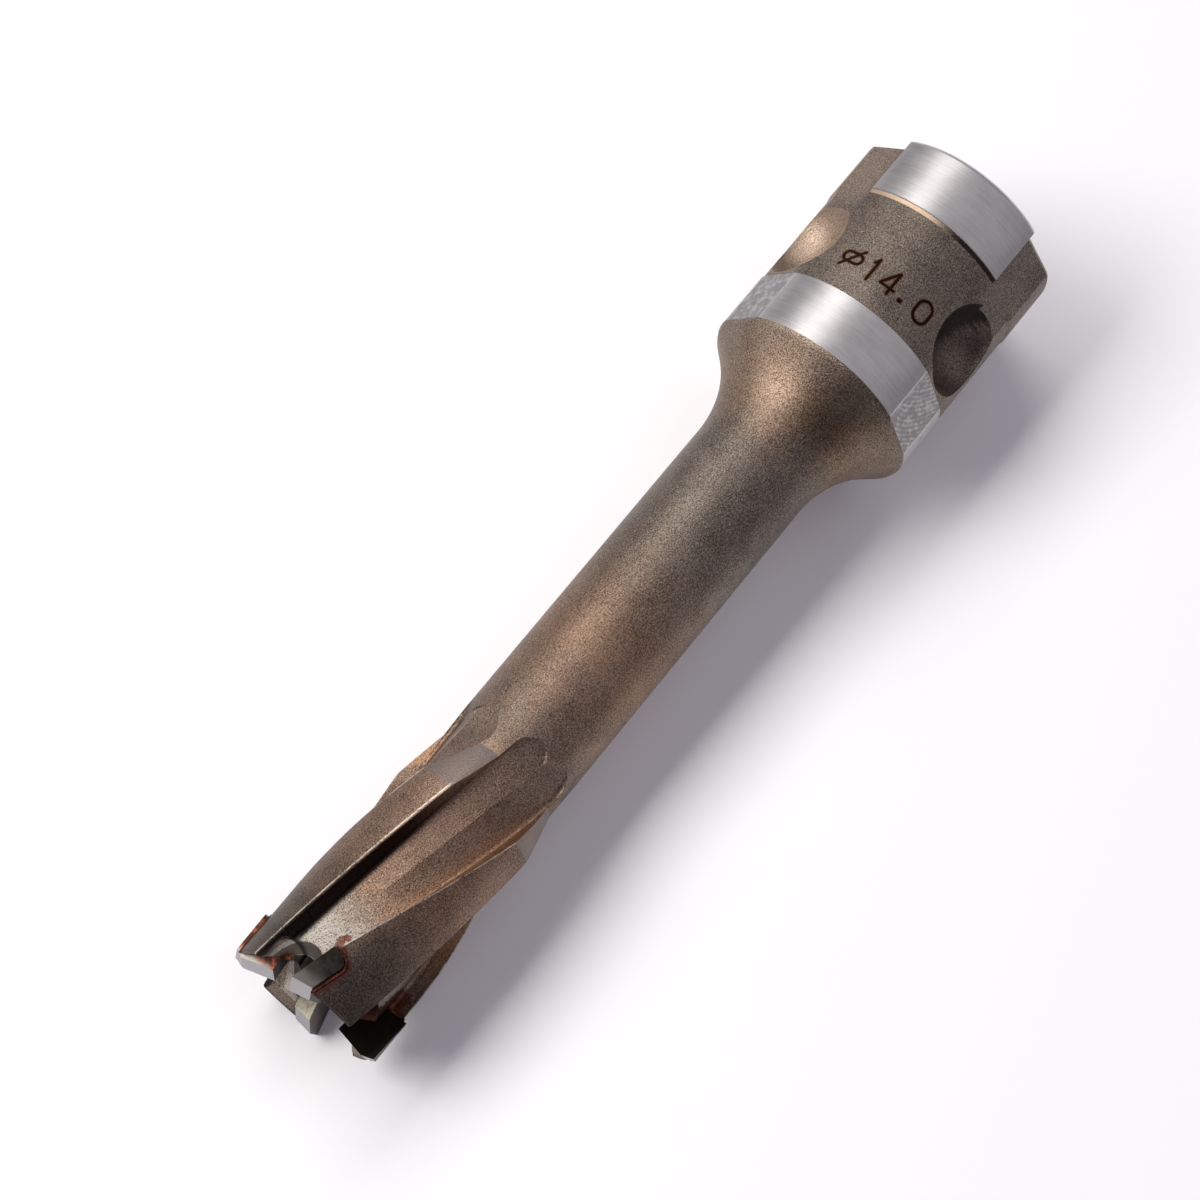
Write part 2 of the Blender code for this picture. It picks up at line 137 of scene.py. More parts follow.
class Paint:
    # A material with its own node tree
    def __init__(self, name):
        self.material = bpy.data.materials.new(name)
        self.material.use_nodes = True
        self.tree = self.material.node_tree
        self.tree.nodes.clear()

    def node(self, kind, settings=None, values=None, out=0):
        made = self.tree.nodes.new(kind)
        for key, value in (settings or {}).items():
            if key == "stops":
                ramp = made.color_ramp
                while len(ramp.elements) < len(value):
                    ramp.elements.new(0.5)
                for element, (place, colour) in zip(ramp.elements, value):
                    element.position = place
                    element.color = (*colour, 1.0)
            else:
                setattr(made, key, value)
        for key, value in (values or {}).items():
            if isinstance(value, Wire):
                self.tree.links.new(value.socket, made.inputs[key])
            elif isinstance(value, tuple) and made.inputs[key].type == "RGBA":
                made.inputs[key].default_value = (*value, 1.0)
            else:
                made.inputs[key].default_value = value
        return Wire(self, made.outputs[out]) if made.outputs else None

    def maths(self, operation, first, second=0.0):
        return self.node("ShaderNodeMath", {"operation": operation}, {0: first, 1: second})

    def place(self):
        # Where a point is along the tool, in millimetres
        seen = self.node("ShaderNodeTexCoord", out=3)
        given = {
            "Vector": seen,
            "Location": placing["spot"],
            "Rotation": (0.0, -radians(placing["tilt"]), 0.0),
            "Scale": (mm, mm, mm),
        }
        return self.node("ShaderNodeMapping", {"vector_type": "TEXTURE"}, given)

    def split(self, vector):
        return [self.node("ShaderNodeSeparateXYZ", None, {0: vector}, out=i) for i in range(3)]

    def join(self, x, y, z):
        return self.node("ShaderNodeCombineXYZ", None, {0: x, 1: y, 2: z})

    def distance(self, first, second):
        settings = {"operation": "DISTANCE"}
        return self.node("ShaderNodeVectorMath", settings, {0: first, 1: second}, out=1)

    def noise(self, vector, scale, detail, rough):
        given = {"Vector": vector, "Scale": scale, "Detail": detail, "Roughness": rough}
        return self.node("ShaderNodeTexNoise", None, given)

    def rise(self, value, low, high):
        # 0 below low, 1 above high, smooth between; low may be the larger
        ends = {"Value": value, "From Min": low, "From Max": high}
        return self.node("ShaderNodeMapRange", {"interpolation_type": "SMOOTHSTEP"}, ends)

    def band(self, value, low, high, soft):
        return self.rise(value, low - soft, low + soft) * self.rise(value, high + soft, high - soft)

    def mix(self, factor, first, second, blend="MIX"):
        settings = {"data_type": "RGBA", "blend_type": blend, "clamp_factor": True}
        return self.node("ShaderNodeMix", settings, {0: factor, 6: first, 7: second}, out=2)

    def ramp(self, value, stops):
        return self.node("ShaderNodeValToRGB", {"stops": stops}, {0: value})

    def bump(self, height, distance, strength):
        given = {"Height": height, "Distance": distance, "Strength": strength}
        return self.node("ShaderNodeBump", None, given)

    def output(self, shader):
        self.node("ShaderNodeOutputMaterial", None, {0: shader})
        return self.material

    def finish(self, values):
        return self.output(self.node("ShaderNodeBsdfPrincipled", None, values))


body = {
    "cuttingRadius": 7.0 * mm,
    "length": 88.9 * mm,
    "tubeRadius": 5.4 * mm,
    "boreRadius": 3.5 * mm,
    "slugRadius": 3.2 * mm,
    "pilotRadius": 3.2 * mm,
    "pilotLength": 30.0 * mm,
    "pilotMouth": 0.6 * mm,
    "collarRadius": 9.65 * mm,
    "collarStart": 67.2 * mm,
    "collarWidth": 5.3 * mm,
    "waistDepth": 0.12 * mm,
    "edgeBreak": 0.06 * mm,
    "ringWidth": 6.1 * mm,
    "ringEdge": 0.45 * mm,
    "endChamfer": 0.45 * mm,
    "fillet": 10.4 * mm,
    "flareAngle": 45.0,
    "brimRadius": 1.2 * mm,
    "brimEnd": 20.0,
    "brimStep": 0.05 * mm,
    "landRadius": 6.55 * mm,
    "headSetback": 0.63 * mm,
    "headSlope": 30.0,
    "headEdge": 0.15 * mm,
    "landLength": 19.5 * mm,
    "landChamfer": 4.4 * mm,
    "stepsAround": 240,
    "arcStep": 4.0,
    "sweepStep": 0.5 * mm,
}
drive = {
    "flatDepth": 0.95 * mm,
    "flatLength": 8.4 * mm,
    "endBevel": 0.6 * mm,
    "padHalfTurn": 42.2,
    "upperFlatTurn": 47.5,
    "pockets": 3,
    "pocketLength": 8.3 * mm,
    "pocketDepth": 3.2 * mm,
    "pocketFromCollar": 0.2 * mm,
    "pocketLag": 1.6,
    "pocketSteps": (96, 60),
    "collarFlatDepth": 0.35 * mm,
    "collarFlatOverrun": 1.0 * mm,
}
flute = {
    "floor": 4.75 * mm,
    "depth": 0.65 * mm,
    "end": 27.7 * mm,
    "ramp": 2.06 * mm,
    "cornerRadius": 0.35 * mm,
    # the two passes that mill each flute; the twist is in degrees for each metre
    "passes": [
        {"name": "firstPass", "turn": -18.7, "twist": 1915.0, "half": 1.6 * mm, "draft": 27.0},
        {"name": "secondPass", "turn": -20.9, "twist": 3270.0, "half": 2.0 * mm, "draft": 0.0},
    ],
    "runoutSteps": 24,
    "runoutEnd": 0.997,
    "cornerSteps": 9,
}
gullet = {
    "radius": 2.4 * mm,
    "height": 4.08 * mm,
    "slope": 30.0,
    "lean": 20.0,
    "crownSteps": 36,
    "rings": 10,
}
tooth = {
    "count": 4,
    "firstTurn": -13.7,
    "thickness": 1.6 * mm,
    "length": 4.6 * mm,
    "cornerRadius": 0.7 * mm,
    "rake": 15.0,
    "sideRelief": 2.5,
    "endRelief": 10.0,
    "pointed": {"peak": 5.0 * mm, "drop": 0.0, "outer": 0.60 * mm, "inner": 0.53 * mm},
    "bevelled": {"peak": 6.0 * mm, "drop": 0.14 * mm, "outer": 0.45 * mm, "inner": 0.78 * mm},
    "gap": 0.26 * mm,
    "clearance": 0.04 * mm,
    "edgeRound": 0.035 * mm,
    "edgeSteps": 2,
    "cornerSteps": 8,
}
toothSpacing = 360 / tooth["count"]
beyond = 2 * body["collarRadius"]


def endFace(r):
    return body["headSetback"] + (body["landRadius"] - r) * tan(radians(body["headSlope"]))


def flareOutline():
    lean = radians(body["flareAngle"])
    end = radians(body["brimEnd"])
    brim = body["brimRadius"]
    brimX = body["collarStart"] + brim * sin(end)
    brimR = body["collarRadius"] - body["brimStep"] - brim * cos(end)
    topX = brimX - brim * sin(lean)
    topR = brimR + brim * cos(lean)
    footR = body["tubeRadius"] + body["fillet"] * (1 - cos(lean))
    footX = topX - (topR - footR) / tan(lean)
    filletX = footX - body["fillet"] * sin(lean)
    filletR = body["tubeRadius"] + body["fillet"]
    flare = body["flareAngle"]
    step = body["arcStep"]
    hollow = arcPoints(filletX, filletR, body["fillet"], -90, -90 + flare, step)
    rim = arcPoints(brimX, brimR, brim, 90 + flare, 90 + body["brimEnd"], step)
    return hollow + rim


def bodyOutline():
    length = body["length"]
    collarEnd = body["collarStart"] + body["collarWidth"]
    ringStart = length - body["ringWidth"]
    waist = body["collarRadius"] - body["waistDepth"]
    tiny = body["edgeBreak"]
    landEnd = body["headSetback"] + body["landLength"]
    outer = [
        (body["headSetback"] + body["headEdge"], body["landRadius"]),
        (landEnd - tiny, body["landRadius"]),
        (landEnd + tiny, body["landRadius"] - tiny / 4),
        (landEnd + body["landChamfer"], body["tubeRadius"]),
        *flareOutline(),
        (body["collarStart"], body["collarRadius"] - tiny),
        (body["collarStart"] + tiny, body["collarRadius"]),
        (collarEnd - tiny, body["collarRadius"]),
        (collarEnd, body["collarRadius"] - tiny),
        (collarEnd, waist),
        (ringStart - body["ringEdge"], waist),
        (ringStart, body["collarRadius"]),
        (length - body["endChamfer"] - tiny, body["collarRadius"]),
        (length - body["endChamfer"] + tiny, body["collarRadius"] - tiny),
        (length - tiny, body["collarRadius"] - body["endChamfer"] + tiny),
        (length, body["collarRadius"] - body["endChamfer"] - tiny),
    ]
    inner = [
        (length, body["pilotRadius"] + body["pilotMouth"]),
        (length - body["pilotMouth"], body["pilotRadius"]),
        (length - body["pilotLength"], body["pilotRadius"]),
        (length - body["pilotLength"], body["boreRadius"]),
        (endFace(body["boreRadius"]), body["boreRadius"]),
        (body["headSetback"], body["landRadius"] - body["headEdge"]),
    ]
    return outer + inner


def turnedBody():
    bm = bmesh.new()
    ring = [bm.verts.new((x, 0.0, r)) for x, r in bodyOutline()]
    edges = [bm.edges.new(pair) for pair in zip(ring, ring[1:] + ring[:1])]
    turning = {"cent": (0, 0, 0), "axis": (1, 0, 0), "angle": 2 * pi, "use_merge": True}
    bmesh.ops.spin(bm, geom=ring + edges, steps=body["stepsAround"], **turning)
    return objectFrom(bm, "steelBody")


def boxCutter(name, turn, sides, floor):
    left, right = (onward(turn) * side for side in sides)
    high = outward(turn) * beyond
    rings = []
    for x, distance in floor:
        low = Vector((x, 0, 0)) + outward(turn) * distance
        rings.append([low + left, low + right, low + high + right, low + high + left])
    return objectFrom(loftRings(rings), name)


def pocketRadius():
    half = drive["pocketLength"] / 2
    depth = drive["pocketDepth"]
    return (half**2 + depth**2) / (2 * depth)


def pocketCentre(turn):
    waist = body["collarRadius"] - body["waistDepth"]
    centre = outward(turn) * (waist - drive["pocketDepth"] + pocketRadius())
    pocketStart = body["collarStart"] + body["collarWidth"] + drive["pocketFromCollar"]
    centre.x = pocketStart + drive["pocketLength"] / 2
    return centre


def pocketCutter(name, turn):
    around, up = drive["pocketSteps"]
    bm = bmesh.new()
    bmesh.ops.create_uvsphere(bm, u_segments=around, v_segments=up, radius=pocketRadius())
    turned = Vector((0, 0, 1)).rotation_difference(outward(turn)).to_matrix().to_4x4()
    bm.transform(Matrix.Translation(pocketCentre(turn)) @ turned)
    return objectFrom(bm, name)


def driveCutters():
    radius = body["collarRadius"]
    length = body["length"]
    bevel = drive["endBevel"]
    flat = radius - drive["flatDepth"]
    floor = [
        (length - drive["flatLength"], flat),
        (length - bevel, flat),
        (length + bevel, flat - 2 * bevel),
    ]
    turn = drive["upperFlatTurn"]
    step = radius * sin(radians(turn - drive["padHalfTurn"]))
    cutters = [
        boxCutter("driveFlatRight", turn, (-step, beyond), floor),
        boxCutter("driveFlatLeft", -turn, (-beyond, step), floor),
        boxCutter("driveFlatUnder", 180, (-beyond, beyond), floor),
    ]
    collarFlat = radius - drive["collarFlatDepth"]
    collarEnd = body["collarStart"] + body["collarWidth"]
    floor = [
        (body["collarStart"] - body["brimRadius"], collarFlat),
        (collarEnd + drive["collarFlatOverrun"], collarFlat),
    ]
    for i in range(drive["pockets"]):
        turn = 180 + i * 360 / drive["pockets"]
        cutters.append(pocketCutter(f"ballPocket{i}", turn - drive["pocketLag"]))
        cutters.append(boxCutter(f"collarFlat{i}", turn, (-radius / 2, radius / 2), floor))
    return cutters


def fluteCorner(u, r, side):
    radius = flute["cornerRadius"]
    steps = flute["cornerSteps"]
    points = []
    for i in range(steps + 1):
        a = pi / 2 * i / steps
        points.append((u + side * radius * (sin(a) - 1), r + radius * (1 - cos(a))))
    return points if side > 0 else points[::-1]


def fluteCutter(name, toothTurn, cut):
    half = cut["half"]
    roundStart = flute["end"] - half
    rampStart = flute["end"] - flute["ramp"]
    rampRadius = (flute["ramp"] ** 2 + flute["depth"] ** 2) / (2 * flute["depth"])
    start = -body["cuttingRadius"] / 2
    straight = ceil((rampStart - start) / body["sweepStep"])
    stations = [start + (rampStart - start) * i / straight for i in range(straight)]
    steps = flute["runoutSteps"]
    for i in range(steps + 1):
        stations.append(rampStart + flute["ramp"] * sin(pi / 2 * i / steps) * flute["runoutEnd"])
    rings = []
    for x in stations:
        rise = max(0.0, x - rampStart)
        floor = flute["floor"] + rampRadius - sqrt(rampRadius**2 - rise**2)
        width = max(sqrt(half**2 - max(0.0, x - roundStart) ** 2), 2 * flute["cornerRadius"])
        turn = toothTurn + cut["turn"] + cut["twist"] * min(x, roundStart)
        reach = beyond - floor
        left = fluteCorner(-width, floor, -1)
        right = fluteCorner(width, floor, 1)
        leaning = -width - reach * tan(radians(cut["draft"]))
        outline = [(leaning, floor + reach), *left, *right, (width, floor + reach)]
        rings.append([Vector((x, 0, 0)) + onward(turn) * u + outward(turn) * r for u, r in outline])
    return objectFrom(loftRings(rings), name)


def toothFrame(turn):
    rake = radians(tooth["rake"])
    along = Vector((cos(rake), 0, 0)) + onward(turn) * sin(rake)
    back = onward(turn) * cos(rake) - Vector((sin(rake), 0, 0))
    made = Matrix.Identity(4)
    for column, axis in enumerate((along, back, outward(turn))):
        for row in range(3):
            made[row][column] = axis[row]
    return made


def gulletCutter(name, turn):
    # An arch across the flute's first pass, cut off at the rake face of the tip
    cut = flute["passes"][0]
    low = body["slugRadius"] / 2
    high = body["cuttingRadius"] + flute["depth"]
    front = -2 * body["cuttingRadius"]
    rings = []
    for i in range(gullet["rings"] + 1):
        r = low + (high - low) * i / gullet["rings"]
        rise = r - flute["floor"]
        centre = gullet["height"] - gullet["radius"] + rise * tan(radians(gullet["slope"]))
        across = rise * tan(radians(gullet["lean"]))
        crown = arcPoints(centre, across, gullet["radius"], -90, 90, 180 / gullet["crownSteps"])
        ring = []
        for x, u in [(front, across - gullet["radius"]), *crown, (front, across + gullet["radius"])]:
            middle = turn + cut["turn"] + cut["twist"] * max(x, 0.0)
            ring.append(Vector((x, 0, 0)) + onward(middle) * u + outward(middle) * r)
        rings.append(ring)
    bm = loftRings(rings)
    bmesh.ops.triangulate(bm, faces=bm.faces)
    everything = bm.verts[:] + bm.edges[:] + bm.faces[:]
    rakeFace = {"plane_co": (0, 0, 0), "plane_no": toothFrame(turn).col[1].to_3d()}
    bmesh.ops.bisect_plane(bm, geom=everything, clear_outer=True, **rakeFace)
    bmesh.ops.holes_fill(bm, edges=[edge for edge in bm.edges if edge.is_boundary])
    bmesh.ops.triangulate(bm, faces=bm.faces)
    return objectFrom(bm, name)


def tipOutline(grow):
    # The tip's back and far end in its own plane, from its foot round the corner to the rake face
    steps = tooth["cornerSteps"]
    thick = tooth["thickness"] + grow
    long = tooth["length"] + grow
    off = tooth["cornerRadius"] + grow
    bend = []
    for i in range(steps + 1):
        a = pi / 2 * (1 - i / steps)
        bend.append((long - off + off * cos(a), thick - off + off * sin(a)))
    return [*bend, (long, 0.0)]


def seatCutter(name, turn):
    front = -2 * body["cuttingRadius"]
    gap = tooth["gap"]
    outline = [(front, tooth["thickness"] + gap), *tipOutline(gap)]
    outline += [(tooth["length"] + gap, -tooth["clearance"]), (front, -tooth["clearance"])]
    levels = (body["slugRadius"] / 2, 2 * body["cuttingRadius"])
    bm = loftRings([[Vector((a, b, r)) for a, b in outline] for r in levels])
    bm.transform(toothFrame(turn))
    return objectFrom(bm, name)


def headCutters():
    cutters = []
    for i in range(tooth["count"]):
        turn = tooth["firstTurn"] + i * toothSpacing
        for cut in flute["passes"]:
            cutters.append(fluteCutter(f"{cut['name']}{i}", turn, cut))
        cutters.append(gulletCutter(f"gullet{i}", turn))
        cutters.append(seatCutter(f"tipSeat{i}", turn))
    return cutters


def cutAll(target, cutters):
    for helper in cutters:
        step = target.modifiers.new(helper.name, "BOOLEAN")
        step.operation = "DIFFERENCE"
        step.solver = "EXACT"
        step.object = helper
    bpy.context.view_layer.update()
    graph = bpy.context.evaluated_depsgraph_get()
    finished = bpy.data.meshes.new_from_object(target.evaluated_get(graph))
    target.modifiers.clear()
    target.data = finished
    for helper in cutters:
        bpy.data.objects.remove(helper, do_unlink=True)
    return target


steelBody = cutAll(turnedBody(), driveCutters() + headCutters())
print("body cut:", len(steelBody.data.polygons), "faces")


def endDrop(r, kind):
    # How far the tip's end lies behind the foremost point of the tool
    peak = kind["peak"]
    drop = kind["drop"]
    if r > peak:
        return drop + (kind["outer"] - drop) * (r - peak) / (body["cuttingRadius"] - peak)
    return drop + (kind["inner"] - drop) * (peak - r) / (peak - body["slugRadius"])


def tipPiece(name, turn, kind):
    rake = radians(tooth["rake"])
    thick = tooth["thickness"]
    relief = tan(radians(tooth["sideRelief"]))
    rings = []
    for flank in (body["slugRadius"], kind["peak"], body["cuttingRadius"]):
        drop = endDrop(flank, kind)
        front = drop / cos(rake)
        back = (drop + thick * tan(radians(tooth["endRelief"]))) / cos(rake) + thick * tan(rake)
        ring = []
        for along, behind in [(front, 0.0), (back, thick), *tipOutline(0.0)]:
            r = flank
            if flank == body["cuttingRadius"]:
                across = along * sin(rake) + behind * cos(rake)
                r = sqrt(flank**2 - across**2) - behind * relief
            if flank == body["slugRadius"]:
                r = flank + behind * relief
            ring.append(Vector((along, behind, r)))
        rings.append(ring)
    bm = loftRings(rings)
    bmesh.ops.triangulate(bm, faces=bm.faces)
    bmesh.ops.dissolve_limit(bm, angle_limit=radians(2), verts=bm.verts, edges=bm.edges)
    bm.transform(toothFrame(turn))
    made = objectFrom(bm, name)
    rounding = made.modifiers.new("edges", "BEVEL")
    rounding.width = tooth["edgeRound"]
    rounding.segments = tooth["edgeSteps"]
    rounding.limit_method = "ANGLE"
    rounding.angle_limit = radians(25)
    graph = bpy.context.evaluated_depsgraph_get()
    finished = bpy.data.meshes.new_from_object(made.evaluated_get(graph))
    made.modifiers.clear()
    made.data = finished
    return made


braze = {
    "proud": 0.10 * mm,
    "lump": 0.07 * mm,
    "lumpSize": 0.9 * mm,
    "rings": 16,
    "pointsAlong": 40,
    "alongStep": 0.2 * mm,
}


def evenly(points, step):
    # Adds points along a line so that none lie further apart than the step
    made = [points[0]]
    for a, b in zip(points, points[1:]):
        gap = sqrt((b[0] - a[0]) ** 2 + (b[1] - a[1]) ** 2)
        parts = max(1, ceil(gap / step))
        for k in range(1, parts + 1):
            made.append((a[0] + (b[0] - a[0]) * k / parts, a[1] + (b[1] - a[1]) * k / parts))
    return made


def brazePiece(name, turn, seed):
    rake = radians(tooth["rake"])
    clear = tooth["clearance"]
    near = tipOutline(clear)
    far = tipOutline(tooth["gap"] - clear)
    rings = []
    low = body["boreRadius"] + clear
    high = body["landRadius"] + braze["proud"]
    for i in range(braze["rings"] + 1):
        r = low + (high - low) * i / braze["rings"]
        foot = endFace(r) / cos(rake) + tooth["thickness"] * tan(rake) + clear
        nearSide = evenly([(foot, near[0][1]), *near], braze["alongStep"])
        farSide = evenly([(foot, far[0][1]), *far], braze["alongStep"])
        count = braze["pointsAlong"]
        ring = []
        for side in (nearSide, farSide[::-1]):
            for k in range(count + 1):
                spot = k / count * (len(side) - 1)
                a = min(int(spot), len(side) - 2)
                part = spot - a
                u = side[a][0] + (side[a + 1][0] - side[a][0]) * part
                b = side[a][1] + (side[a + 1][1] - side[a][1]) * part
                ring.append((u, b))
        level = []
        for u, b in ring:
            across = u * sin(rake) + b * cos(rake)
            out = r
            if i == braze["rings"]:
                spotty = noise.noise(Vector((u, b, seed * mm)) / braze["lumpSize"])
                out += braze["lump"] * spotty
            level.append(Vector((u, b, sqrt(max(out**2 - across**2, 0.0)))))
        rings.append(level)
    bm = loftRings(rings)
    bm.transform(toothFrame(turn))
    return objectFrom(bm, name)


steel = {
    "shade": (0.105, 0.085, 0.074),
    "plain": (0.37, 0.318, 0.275),
    "spark": (0.80, 0.68, 0.52),
    # soot on the lands, also used as painted shade on the flare, the right pocket, the ring step and the
    # flute walls
    "sootAndShade": (0.010, 0.008, 0.007),
    # a warm painted highlight for the shank's lit left side
    "highlightGold": (0.60, 0.44, 0.31),
    "grainPerMm": 8.0,
    "grainContrast": 1.8,
    "grainDepth": 0.055 * mm,
    "sparkShare": 0.5,
    "roughness": 0.48,
    "roughnessSpread": 0.25,
    # warm and neutral stretches along the tool: (millimetres from the teeth, tint)
    "tints": [
        (0.0, (0.95, 0.88, 0.82)),
        (4.0, (1.05, 0.97, 0.88)),
        (11.0, (1.10, 0.84, 0.68)),
        (20.0, (1.08, 0.84, 0.70)),
        (27.0, (1.04, 0.92, 0.82)),
        (37.0, (1.22, 0.94, 0.74)),
        (48.0, (1.02, 0.98, 0.92)),
        (58.0, (0.98, 0.97, 0.93)),
        (63.0, (1.20, 0.96, 0.76)),
        (68.0, (1.04, 0.97, 0.90)),
        (75.0, (1.02, 0.99, 0.94)),
        (88.9, (1.02, 0.98, 0.94)),
    ],
    "tintCeiling": 1.25,
}
# In these dictionaries a pair of numbers runs from where a look isn't there to where it is full,
# in millimetres along or out from the tool's axis or in degrees round it. A stretch is a band's two ends.
bright = {
    "ground": (0.56, 0.545, 0.535),
    "groundDark": (0.43, 0.415, 0.41),
    "groundRoughness": 0.42,
    "linesPerMm": 12.0,
    "lineDepth": 0.12,
    "milled": (0.23, 0.222, 0.22),
    "milledBright": (0.42, 0.41, 0.41),
    "millCentre": (75.8, -5.05, 9.85),
    "millPeriod": 0.42,
    "millArcs": (44.0, 50.0),
    "padTurn": (46.0, 45.0),
    "underPadTurn": (96.0, 97.0),
}
ringStart = (body["length"] - body["ringWidth"]) / mm
collarStart = body["collarStart"] / mm
collarEnd = collarStart + body["collarWidth"] / mm
shankRadius = body["collarRadius"] / mm
landRadius = body["landRadius"] / mm
landEnd = (body["headSetback"] + body["landLength"]) / mm


def steelPlaces(p):
    # What every part of the steel's look is worked out from
    spot = p.place()
    x, y, z = p.split(spot)
    at = SimpleNamespace(spot=spot, x=x, y=y, z=z)
    at.r = (y * y + z * z) ** 0.5
    at.turn = p.maths("ARCTAN2", 0 - y, z) * (180 / pi)
    at.grain = p.noise(spot, steel["grainPerMm"], 2.0, 0.6)
    at.patch = p.noise(spot, 0.45, 3.0, 0.5)
    at.seep = p.noise(spot, 1.1, 3.0, 0.6)
    at.lines = p.noise(p.join(x * bright["linesPerMm"], y * 0.3, z * 0.3), 1.0, 4.0, 0.75)
    at.pads = p.rise(abs(at.turn), *bright["padTurn"]) + p.rise(abs(at.turn), *bright["underPadTurn"])
    reach = p.distance(spot, bright["millCentre"]) * (2 * pi / bright["millPeriod"])
    at.arcs = p.maths("SINE", reach + at.patch * 8.0) * p.rise(at.turn, *bright["millArcs"])
    return at


def pocketMask(p, at, side):
    radius = pocketRadius()
    centre = pocketCentre(side * 360 / drive["pockets"] / 2 - drive["pocketLag"])
    return p.rise(abs(p.distance(at.spot, tuple(centre / mm)) - radius / mm), 0.08, 0.03)


def passFrame(p, at, cut):
    # Across and out from the nearest flute pass, as in the cutter's own section
    half = toothSpacing / 2
    side = (at.turn - at.x * (cut["twist"] * mm) - (tooth["firstTurn"] + cut["turn"] - half)) % toothSpacing
    angle = (side - half) * (pi / 180)
    return at.r * p.maths("SINE", angle), at.r * p.maths("COSINE", angle)


def brightMasks(p, at):
    # Where the surface was ground bright, and where the collar was milled flat
    onRing = p.rise(at.x, ringStart - 0.05, ringStart + 0.05)
    onRing = onRing * p.rise(at.r, shankRadius - 0.5, shankRadius - 0.45)
    onCollar = p.band(at.x, collarStart + 0.02, collarEnd, 0.04)
    ground = onRing * at.pads + onCollar * p.rise(at.r, shankRadius - 0.05, shankRadius - 0.02)
    milled = onCollar * p.rise(at.r, shankRadius - 0.02, shankRadius - 0.05)
    return ground, milled * p.rise(at.r, shankRadius - 0.42, shankRadius - 0.38)


def groundColour(p, at):
    # Fine lines run round the ground bands
    share = p.rise(at.lines + (at.patch - 0.5) * 0.4, 0.3, 0.7)
    return p.mix(share, bright["groundDark"], bright["ground"])


def milledColour(p, at):
    # The milling cutter's arcs cross the right flat, and all the flats are mottled
    mottle = p.noise(at.spot, 1.6, 3.0, 0.6) - 0.5
    share = p.rise(at.arcs * 0.45 + mottle * 6.0, -0.6, 1.3)
    return p.mix(share, bright["milled"], bright["milledBright"])


def blastedColour(p, at):
    # Blasted grain with a few bright flecks, over slow warm and cold patches
    slow = p.noise(at.spot, 0.09, 2.0, 0.5)
    tone = 0.5 + (at.grain - 0.5) * steel["grainContrast"] + (at.patch - 0.5) * 0.3 + (slow - 0.5) * 0.4
    colour = p.mix(p.rise(tone, 0.2, 0.85), steel["shade"], steel["plain"])
    length = body["length"] / mm
    ceiling = steel["tintCeiling"]
    stops = [(place / length, tuple(part / ceiling for part in tint)) for place, tint in steel["tints"]]
    colour = p.mix(1.0, colour, p.ramp(at.x / length + (at.patch - 0.5) * 0.10, stops), "MULTIPLY")
    fleck = p.rise(p.noise(at.spot, steel["grainPerMm"] * 1.3, 1.0, 0.5), 0.64, 0.76)
    return p.mix(fleck * steel["sparkShare"], colour, steel["spark"])


shankPaintedLight = {
    # Painted light on the shank: warm highlights on its lit left side and shade on its right
    "flareStart": (60.5, 63.5),
    "flareEnd": (68.0, 66.0),
    "flareHighlightRight": (4.0, -14.0),
    "flareHighlightLeft": (-56.0, -30.0),
    "flareHighlightShare": 0.30,
    "flareShadeTurns": (10.0, 44.0),
    "flareShadeShare": 0.45,
    "litFlatRight": (-46.5, -56.0),
    "litFlatLeft": (-100.0, -90.0),
    "flatHighlightShare": 0.35,
    "rightPocketShade": 0.90,
    "pocketLight": 0.75,
    "pocketLightTurn": (58.0, 72.0),
    "leftPocketHighlight": 0.42,
    "stepHighlightTurn": (12.0, -8.0),
    "stepHighlight": 0.7,
    "stepShadowTurn": (-4.0, 16.0),
    "stepShadow": 0.85,
}


